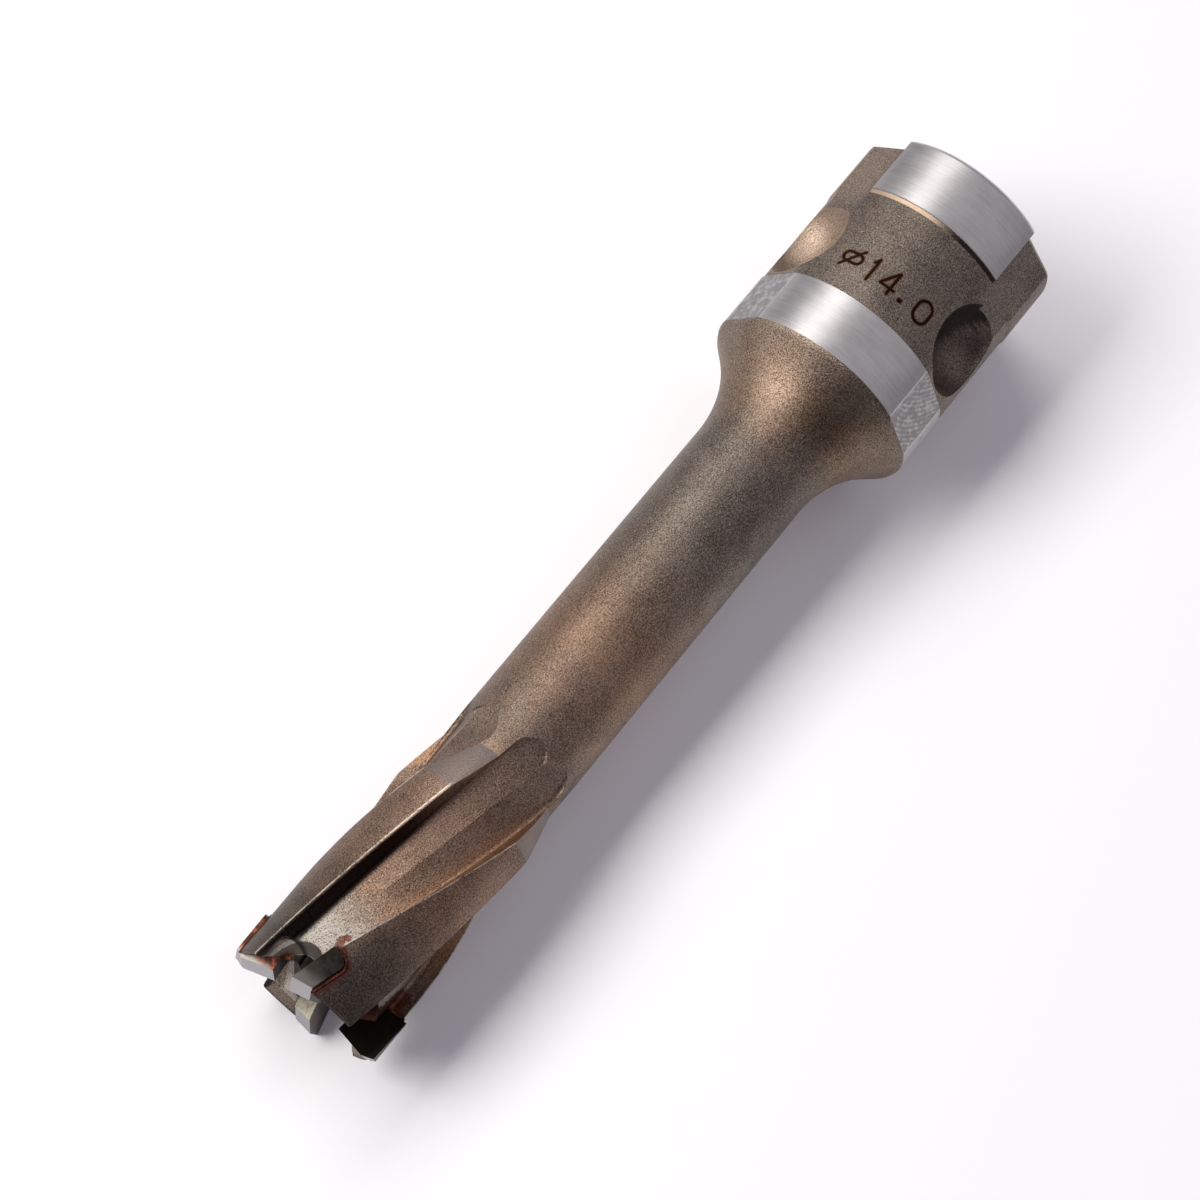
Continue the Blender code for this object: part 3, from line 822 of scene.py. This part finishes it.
def paintShankLight(p, at, colour):
    # The flare has a warm painted highlight on its left and painted brown shade on its right, and the left
    # drive flat a warm painted highlight
    flare = p.rise(at.x, *shankPaintedLight["flareStart"]) * p.rise(at.x, *shankPaintedLight["flareEnd"])
    paintedHighlight = p.rise(at.turn, *shankPaintedLight["flareHighlightRight"]) * p.rise(at.turn, *shankPaintedLight["flareHighlightLeft"])
    paintedHighlight = flare * paintedHighlight * p.rise(at.grain, 0.30, 0.60)
    colour = p.mix(paintedHighlight * shankPaintedLight["flareHighlightShare"], colour, steel["highlightGold"])
    flat = p.rise(at.x, ringStart - 2.4, ringStart + 1.0) * p.rise(at.turn, *shankPaintedLight["litFlatRight"])
    flat = flat * p.rise(at.turn, *shankPaintedLight["litFlatLeft"]) * p.rise(at.grain, 0.25, 0.6)
    colour = p.mix(flat * shankPaintedLight["flatHighlightShare"], colour, steel["highlightGold"])
    brown = flare * p.band(at.turn, *shankPaintedLight["flareShadeTurns"], 12.0)
    colour = p.mix(brown * shankPaintedLight["flareShadeShare"], colour, steel["sootAndShade"])

    # The right ball pocket has painted shade inside, lighter towards its lower side, and the left one a
    # warm painted highlight
    streaks = (p.noise(p.join(at.x * 5.0, at.turn * 0.05, 0.0), 1.0, 3.0, 0.6) - 0.5) * 20.0
    lighter = p.rise(at.turn + streaks, *shankPaintedLight["pocketLightTurn"]) * shankPaintedLight["pocketLight"]
    colour = p.mix(pocketMask(p, at, 1) * (shankPaintedLight["rightPocketShade"] - lighter), colour, steel["sootAndShade"])
    paintedHighlight = pocketMask(p, at, -1) * p.rise(at.grain, 0.0, 0.6)
    colour = p.mix(paintedHighlight * shankPaintedLight["leftPocketHighlight"], colour, steel["highlightGold"])

    # The step under the ring has a warm painted highlight on its left and a painted shadow on its right
    step = p.band(at.x, ringStart - 0.42, ringStart - 0.06, 0.04) * at.pads
    paintedHighlight = step * p.rise(at.turn, *shankPaintedLight["stepHighlightTurn"])
    colour = p.mix(paintedHighlight * shankPaintedLight["stepHighlight"], colour, steel["highlightGold"])
    dark = step * p.rise(at.turn, *shankPaintedLight["stepShadowTurn"])
    return p.mix(dark * shankPaintedLight["stepShadow"], colour, steel["sootAndShade"])


headWearAndShade = {
    "polished": (0.50, 0.465, 0.41),
    "scoured": (10.0, 4.5),
    "scouredRadius": (5.4, 5.15),
    "scouredShare": 0.6,
    "arch": (0.055, 0.040, 0.029),
    "archOuter": (4.76, 4.66),
    "archInner": (3.51, 3.56),
    "archEnd": (8.0, 7.0),
    "archShare": 0.85,
    "sooty": (14.0, 2.0),
    "sootyRadius": (6.1, 6.4),
    "sootyShare": 0.6,
    # painted black shade on the steep wall behind each land
    "wallShadeFades": (22.0, 14.0),
    "wallShadeShare": 0.94,
    "ember": (0.46, 0.25, 0.13),
    "emberStretch": (9.0, 24.0),
    "emberShare": 0.45,
    # land edges brightened by wear, and on the lit side partly as a painted highlight
    "edge": (0.74, 0.66, 0.55),
    "litEdgeTurn": (30.0, 10.0),
    "edgeFades": (21.0, 19.5),
    "edgeWearAndHighlightShare": 0.8,
    "cone": (0.24, 0.225, 0.22),
    "coneShare": 0.6,
}


def wornAndShadedHead(p, at, colour):
    # Chips have scoured the flute floors near the teeth, the gullets' arches are brown,
    # and the lands are sooty from brazing
    scoured = p.rise(at.x + (at.patch - 0.5) * 5.0, *headWearAndShade["scoured"])
    scoured = scoured * p.rise(at.r, *headWearAndShade["scouredRadius"]) * p.rise(at.grain, 0.28, 0.50)
    colour = p.mix(scoured * headWearAndShade["scouredShare"], colour, headWearAndShade["polished"])
    arch = p.rise(at.r, *headWearAndShade["archOuter"]) * p.rise(at.r, *headWearAndShade["archInner"])
    arch = arch * p.rise(at.x, *headWearAndShade["archEnd"])
    colour = p.mix(arch * headWearAndShade["archShare"], colour, headWearAndShade["arch"])
    sooty = p.rise(at.x + (at.patch - 0.5) * 6.0, *headWearAndShade["sooty"])
    sooty = sooty * p.rise(at.r, *headWearAndShade["sootyRadius"])
    colour = p.mix(sooty * headWearAndShade["sootyShare"], colour, steel["sootAndShade"])

    # The steep wall behind each land gets painted black shade
    first, second = flute["passes"]
    across, out = passFrame(p, at, first)
    lean = radians(first["draft"])
    offWall = (across + first["half"] / mm + (out - flute["floor"] / mm) * tan(lean)) * cos(lean)
    wall = p.rise(offWall, -0.16, -0.04) * p.rise(offWall, 0.55, 0.08)
    wall = wall * p.rise(at.r, landRadius - 0.08, landRadius - 0.2) * p.rise(at.x, *headWearAndShade["wallShadeFades"])
    colour = p.mix(wall * headWearAndShade["wallShadeShare"], colour, steel["sootAndShade"])

    # Along the foot of the next land the floor glows, and wear brightens the lands' edges; on the trailing
    # edges this is kept to the lit side, where it is partly a painted highlight
    offFront = passFrame(p, at, second)[0] - second["half"] / mm
    ember = p.rise(offFront, -1.5, -0.3) * p.rise(at.r, landRadius - 0.05, landRadius - 0.3)
    ember = ember * p.band(at.x, *headWearAndShade["emberStretch"], 3.0) * p.rise(at.grain, 0.2, 0.6)
    colour = p.mix(ember * headWearAndShade["emberShare"], colour, headWearAndShade["ember"])
    edgeWearAndHighlight = p.band(offWall, -0.13, 0.02, 0.03) * p.rise(at.turn, *headWearAndShade["litEdgeTurn"])
    edgeWearAndHighlight = edgeWearAndHighlight + p.band(offFront, -0.02, 0.10, 0.03) * p.rise(at.x, 3.0, 6.0)
    edgeWearAndHighlight = edgeWearAndHighlight * p.rise(at.r, landRadius - 0.12, landRadius - 0.06) * p.rise(at.x, *headWearAndShade["edgeFades"])
    edgeWearAndHighlight = edgeWearAndHighlight * p.rise(at.grain + at.patch, 0.75, 1.05)
    colour = p.mix(edgeWearAndHighlight * headWearAndShade["edgeWearAndHighlightShare"], colour, headWearAndShade["edge"])

    # The cone at the lands' upper ends was cut last and is greyer
    slope = (body["landRadius"] - body["tubeRadius"]) / body["landChamfer"]
    offCone = abs(at.r - (landRadius - (at.x - landEnd) * slope))
    cone = p.rise(offCone, 0.06, 0.02) * p.band(at.x, landEnd, landEnd + body["landChamfer"] / mm, 0.1)
    return p.mix(cone * headWearAndShade["coneShare"], colour, headWearAndShade["cone"])


stains = {
    "stain": (0.075, 0.024, 0.016),
    "copper": (0.16, 0.050, 0.028),
    "reach": (0.45, 0.0),
    "end": (9.0, 7.5),
    "share": 0.8,
    "spillShare": 0.85,
    # braze that has run past its seam: (place on the tool in millimetres, size)
    "spills": [
        ((3.4, -4.6, 0.7), 0.95),
        ((4.7, -5.2, -0.1), 1.15),
        ((5.9, -5.4, -0.6), 1.0),
        ((5.3, 0.5, 4.85), 0.5),
        ((5.9, 0.2, 4.95), 0.35),
        ((1.2, 1.2, -3.6), 0.6),
    ],
}


def stained(p, at, colour):
    # Braze has stained the steel round each tip and run out over it in places
    half = toothSpacing / 2
    fold = (at.turn - (tooth["firstTurn"] - half)) % toothSpacing - half
    across = at.r * p.maths("SINE", fold * (pi / 180))
    rake = radians(tooth["rake"])
    along = at.x * cos(rake) + across * sin(rake)
    back = across * cos(rake) - at.x * sin(rake)
    corner = tooth["cornerRadius"] / mm
    backOver = p.maths("MAXIMUM", back - ((tooth["thickness"] + tooth["gap"]) / mm - corner), 0.0)
    alongOver = p.maths("MAXIMUM", along - ((tooth["length"] + tooth["gap"]) / mm - corner), 0.0)
    away = (backOver * backOver + alongOver * alongOver) ** 0.5 - corner
    near = p.rise(away + (at.seep - 0.5) * 1.3, *stains["reach"]) * p.rise(back, -0.5, 0.0)
    near = near * p.rise(fold, -14.0, -6.0) * p.rise(at.x, *stains["end"])
    colour = p.mix(near * stains["share"], colour, stains["stain"])
    copperLook = p.mix(p.rise(at.grain, 0.35, 0.6), stains["stain"], stains["copper"])
    for centre, size in stains["spills"]:
        spill = p.rise(p.distance(at.spot, centre) + (at.seep - 0.5) * 1.6, size, size * 0.7)
        colour = p.mix(spill * stains["spillShare"], colour, copperLook)
    return colour


# The size in millimetres, marked on the waist in single strokes: (across, along), with the tops
# of the characters up the tool
sizeMark = {
    "radius": 9.53,
    "halfStroke": 0.135,
    "halo": 0.12,
    "haloShare": 0.9,
    "fray": 0.10,
    "stretch": (73.5, 78.0),
    "dark": (0.013, 0.007, 0.005),
    "rust": (0.13, 0.050, 0.022),
    "strokes": [
        ((-4.57, 74.73), (-3.17, 76.73)),
        ((-1.73, 74.57), (-1.73, 76.80)),
        ((-1.77, 76.72), (-2.00, 76.32)),
        ((0.37, 74.55), (0.37, 76.77)),
        ((0.30, 76.70), (-0.63, 75.14)),
        ((-0.63, 75.10), (0.70, 75.10)),
        ((1.48, 74.90), (1.67, 74.90)),
        ((1.48, 74.76), (1.67, 74.76)),
    ],
    "lyingLoop": {"middle": (-3.83, 75.77), "radius": 0.50, "straight": 0.37},
    "standingLoop": {"middle": (3.71, 75.52), "radius": 0.73, "straight": 0.31},
}


def strokeDistance(p, u, v, start, end):
    run = (end[0] - start[0], end[1] - start[1])
    square = run[0] ** 2 + run[1] ** 2
    part = (u - start[0]) * (run[0] / square) + (v - start[1]) * (run[1] / square)
    part = p.node("ShaderNodeClamp", None, {0: part})
    return ((u - start[0] - part * run[0]) ** 2.0 + (v - start[1] - part * run[1]) ** 2.0) ** 0.5


def loopDistance(p, long, short, loop):
    # From a stadium's outline, whose straight sides run along its long way
    past = p.maths("MAXIMUM", abs(long) - loop["straight"], 0.0)
    return abs((past * past + short * short) ** 0.5 - loop["radius"])


def markDistance(p, x, turn):
    u = turn * (pi / 180 * sizeMark["radius"])
    away = None
    for start, end in sizeMark["strokes"]:
        found = strokeDistance(p, u, x, start, end)
        away = p.maths("MINIMUM", away, found) if away else found
    across, along = sizeMark["lyingLoop"]["middle"]
    found = loopDistance(p, u - across, x - along, sizeMark["lyingLoop"])
    away = p.maths("MINIMUM", away, found)
    across, along = sizeMark["standingLoop"]["middle"]
    found = loopDistance(p, x - along, u - across, sizeMark["standingLoop"])
    return p.maths("MINIMUM", away, found)


def marked(p, at, colour):
    # The size mark is burnt in, with a rusty rim
    written = markDistance(p, at.x, at.turn) + (at.grain - 0.5) * sizeMark["fray"]
    onWaist = p.band(at.x, *sizeMark["stretch"], 0.1) * p.rise(at.z, 0.0, 1.0) * (1 - pocketMask(p, at, -1))
    edge = sizeMark["halfStroke"]
    rim = p.rise(written, edge + sizeMark["halo"], edge) * onWaist
    colour = p.mix(rim * sizeMark["haloShare"], colour, sizeMark["rust"])
    return p.mix(p.rise(written, edge + 0.02, edge - 0.05) * onWaist, colour, sizeMark["dark"])


def steelPaint():
    p = Paint("blastedSteel")
    at = steelPlaces(p)
    ground, milled = brightMasks(p, at)
    colour = blastedColour(p, at)
    colour = wornAndShadedHead(p, at, paintShankLight(p, at, colour))
    colour = p.mix(milled, colour, milledColour(p, at))
    colour = p.mix(ground, colour, groundColour(p, at))
    colour = marked(p, at, stained(p, at, colour))

    grainy = (at.grain - 0.5) * steel["roughnessSpread"]
    drop = steel["roughness"] - bright["groundRoughness"]
    rough = steel["roughness"] + grainy - (ground + milled) * (drop + grainy - (at.lines - 0.5) * 0.2)
    cuts = ground * at.lines + milled * at.arcs
    height = at.grain * (1 - (ground + milled)) + cuts * bright["lineDepth"]
    normal = p.bump(height, steel["grainDepth"], 0.9)
    return p.finish({"Base Color": colour, "Roughness": rough, "Metallic": 1.0, "Normal": normal})


carbide = {
    "shade": (0.024, 0.020, 0.014),
    "face": (0.048, 0.044, 0.040),
    "front": (0.19, 0.175, 0.155),
    "frontEnd": (2.4, 0.9),
    "frontShare": 0.8,
    "end": (0.38, 0.365, 0.37),
    # painted reflection on the lowest tip's cutting face
    "paintedHighlight": (0.42, 0.37, 0.28),
    "rust": (0.035, 0.014, 0.009),
    "rustStart": (0.7, 1.3),
    # painted shade that leaves the right tip nearly black
    "darkSide": (-3.2, -2.0),
    "roughness": 0.42,
    "lineDepth": 0.008 * mm,
}


def carbidePaint():
    p = Paint("groundCarbide")
    spot = p.place()
    x, y, z = p.split(spot)
    facingX, facingY, facingZ = p.split(p.node("ShaderNodeNewGeometry", out=1))
    r = (y * y + z * z) ** 0.5
    cloud = p.noise(spot, 1.2, 4.0, 0.6)
    lines = p.noise(p.join(x * 2.0, y * 18.0, z * 18.0), 1.0, 3.0, 0.6)

    # The right tip has painted shade and is nearly black; the others are lighter towards the teeth
    lit = p.rise(y, *carbide["darkSide"])
    colour = p.mix(p.rise(cloud, 0.35, 0.65) * lit, carbide["shade"], carbide["face"])
    front = p.rise(x + (cloud - 0.5) * 1.5, *carbide["frontEnd"]) * lit
    colour = p.mix(front * carbide["frontShare"], colour, carbide["front"])

    # The lowest tip's cutting face has a warm painted reflection, the left tip's upper face is rusty,
    # and the ends are ground bright
    paintedHighlight = p.rise(facingZ, 0.15, 0.5) * p.rise(r, 6.4, 6.0) * p.rise(z, 0.0, -1.5)
    colour = p.mix(paintedHighlight * p.rise(lines, 0.30, 0.55), colour, carbide["paintedHighlight"])
    rusty = p.rise(x + (cloud - 0.5) * 1.4, *carbide["rustStart"]) * p.rise(y, 2.0, 3.0)
    rustLook = p.mix(p.rise(cloud, 0.40, 0.60), carbide["rust"], stains["copper"])
    colour = p.mix(rusty * p.rise(facingZ, 0.4, 0.7), colour, rustLook)
    colour = p.mix(p.rise(facingX, -0.55, -0.8), colour, carbide["end"])

    rough = carbide["roughness"] + (lines - 0.5) * 0.2
    normal = p.bump(lines, carbide["lineDepth"], 0.6)
    return p.finish({"Base Color": colour, "Roughness": rough, "Metallic": 1.0, "Normal": normal})


copper = {
    "bright": (0.24, 0.080, 0.042),
    "dark": (0.045, 0.015, 0.010),
    "darkSide": (5.4, 4.4),
    "roughness": 0.45,
    "lumpDepth": 0.08 * mm,
}


def brazePaint():
    p = Paint("copperBraze")
    spot = p.place()
    cloud = p.noise(spot, 2.2, 4.0, 0.65)
    y = p.split(spot)[1]
    share = p.rise(cloud, 0.38, 0.64) * p.rise(y, *copper["darkSide"])
    colour = p.mix(share, copper["dark"], copper["bright"])
    rough = copper["roughness"] + cloud * 0.2
    normal = p.bump(p.noise(spot, 6.0, 2.0, 0.5), copper["lumpDepth"], 0.8)
    return p.finish({"Base Color": colour, "Roughness": rough, "Metallic": 0.9, "Normal": normal})


steelLook = steelPaint()
carbideLook = carbidePaint()
brazeLook = brazePaint()
print("materials made")

dress(steelBody, steelLook)
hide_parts("cutter_body")
for i in range(tooth["count"]):
    turn = tooth["firstTurn"] + i * toothSpacing
    kind = tooth["bevelled"] if i % 2 else tooth["pointed"]
    tip = dress(tipPiece(f"carbideTip{i + 1}", turn, kind), carbideLook)
    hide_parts(f"carbide_tip_{i + 1}")
    seam = dress(brazePiece(f"brazeSeam{i + 1}", turn, 10.0 * i), brazeLook)
    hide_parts(f"braze_seam_{i + 1}")
print("tips and braze made")


# Each lamp stands at the same distance, on the side it is named from, and faces the middle of the tool
studio = {
    "floor": (0.95, 0.95, 0.95),
    "floorRoughness": 0.9,
    "floorSize": 3.0,
    "glow": (0.95, 0.86, 1.0),
    "lift": 0.06,
    "world": (0.102, 0.088, 0.124),
    "lampDistance": 0.7,
    "lamps": [
        {
            "name": "strip",
            "from": (-0.05, 0.595, 0.803),
            "size": (1.1, 0.28),
            "colour": (1.0, 0.985, 0.965),
            "power": 4.5,
        },
        {
            "name": "sideBox",
            "from": (-0.48, 0.55, 0.68),
            "size": (0.4, 0.3),
            "colour": (1.0, 0.985, 0.965),
            "power": 2.2,
        },
        {
            "name": "card",
            "from": (0.35, -0.45, 0.82),
            "size": (0.7, 1.0),
            "colour": (1.0, 0.98, 1.0),
            "power": 1.1,
        },
    ],
}


def floorPaint():
    # Seen straight on, mirrored or through glass, the floor is a little lighter than its light makes it
    p = Paint("paleFloor")
    given = {
        "Base Color": studio["floor"],
        "Roughness": studio["floorRoughness"],
        "Specular IOR Level": 0.0,
    }
    plain = p.node("ShaderNodeBsdfPrincipled", None, given)
    cameraRay, glossyRay, glassRay = (p.node("ShaderNodeLightPath", out=i) for i in (0, 3, 6))
    given = {"Color": studio["glow"], "Strength": studio["lift"]}
    glow = p.node("ShaderNodeEmission", None, given)
    lifted = p.node("ShaderNodeAddShader", None, {0: plain, 1: glow})
    seen = cameraRay + glossyRay + glassRay
    return p.output(p.node("ShaderNodeMixShader", None, {0: seen, 1: plain, 2: lifted}))


def makeStudio():
    half = studio["floorSize"] / 2
    mesh = bpy.data.meshes.new("floor")
    corners = [(-half, -half, 0), (half, -half, 0), (half, half, 0), (-half, half, 0)]
    mesh.from_pydata(corners, [], [(0, 1, 2, 3)])
    floor = bpy.data.objects.new("floor", mesh)
    bpy.context.scene.collection.objects.link(floor)
    mesh.materials.append(floorPaint())
    world = bpy.data.worlds.new("studio")
    bpy.context.scene.world = world
    world.use_nodes = True
    world.node_tree.nodes["Background"].inputs[0].default_value = (*studio["world"], 1.0)
    for given in studio["lamps"]:
        lamp = bpy.data.lights.new(given["name"], "AREA")
        lamp.shape = "RECTANGLE"
        lamp.size, lamp.size_y = given["size"]
        lamp.energy = given["power"]
        lamp.color = given["colour"]
        holder = bpy.data.objects.new(given["name"], lamp)
        back = Vector(given["from"]).normalized()
        side = (Vector((1, 0, 0)) - back * back.x).normalized()
        turned = Matrix((side, back.cross(side), back)).transposed()
        holder.matrix_world = Matrix.Translation(back * studio["lampDistance"]) @ turned.to_4x4()
        bpy.context.scene.collection.objects.link(holder)


# Fitted to the outlines and circles of the cutter, in the tool's own frame, for a square picture
view = {
    "right": (0.6077826, -0.7859639, 0.1134067),
    "up": (0.7280529, 0.6085412, 0.3156210),
    "stand": (-0.0405292, -0.0256602, 0.2441405),
    "sensor": 36.0,
    "lens": 95.2158,
    "nearest": 0.01,
}


def makeCamera():
    right = Vector(view["right"])
    up = Vector(view["up"])
    inTool = Matrix.Identity(4)
    for column, axis in enumerate((right, up, right.cross(up), Vector(view["stand"]))):
        for row in range(3):
            inTool[row][column] = axis[row]
    data = bpy.data.cameras.new("camera")
    data.sensor_width = view["sensor"]
    data.lens = view["lens"]
    data.clip_start = view["nearest"]
    camera = bpy.data.objects.new("camera", data)
    camera.matrix_world = laidDown @ inTool
    bpy.context.scene.collection.objects.link(camera)
    bpy.context.scene.camera = camera


makeStudio()
makeCamera()
bpy.context.scene.view_settings.view_transform = "Standard"
print("studio ready")

bpy.context.view_layer.update()
